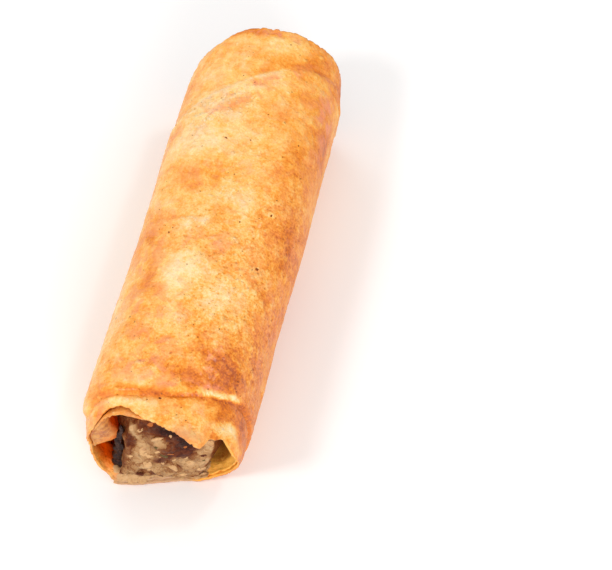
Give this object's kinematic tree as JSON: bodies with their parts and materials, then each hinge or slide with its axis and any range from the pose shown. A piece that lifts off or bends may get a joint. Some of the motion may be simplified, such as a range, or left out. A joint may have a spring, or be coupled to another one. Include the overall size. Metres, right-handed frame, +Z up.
{
  "type": "fried spring roll",
  "caption": "Fried spring roll: a crisp pastry sheet rolled round a meat filling, open at both ends, lying on a flat underside.",
  "frame": {"origin": "middle of the flat underside: the bottom centre of the bounding box", "axes": "+Y runs along the roll from its mouth to its far end, +Z is up, +X is to the right as seen from the mouth"},
  "size_m": [0.0306, 0.0896, 0.0258],
  "materials": {
    "pastry": "deep-fried wheat pastry, golden brown, lightly oily",
    "filling": "cooked minced meat with shredded mushroom, moist"
  },
  "bodies": {
    "root": {"wrapper": "pastry", "filling": "filling"}
  },
  "joints": []
}
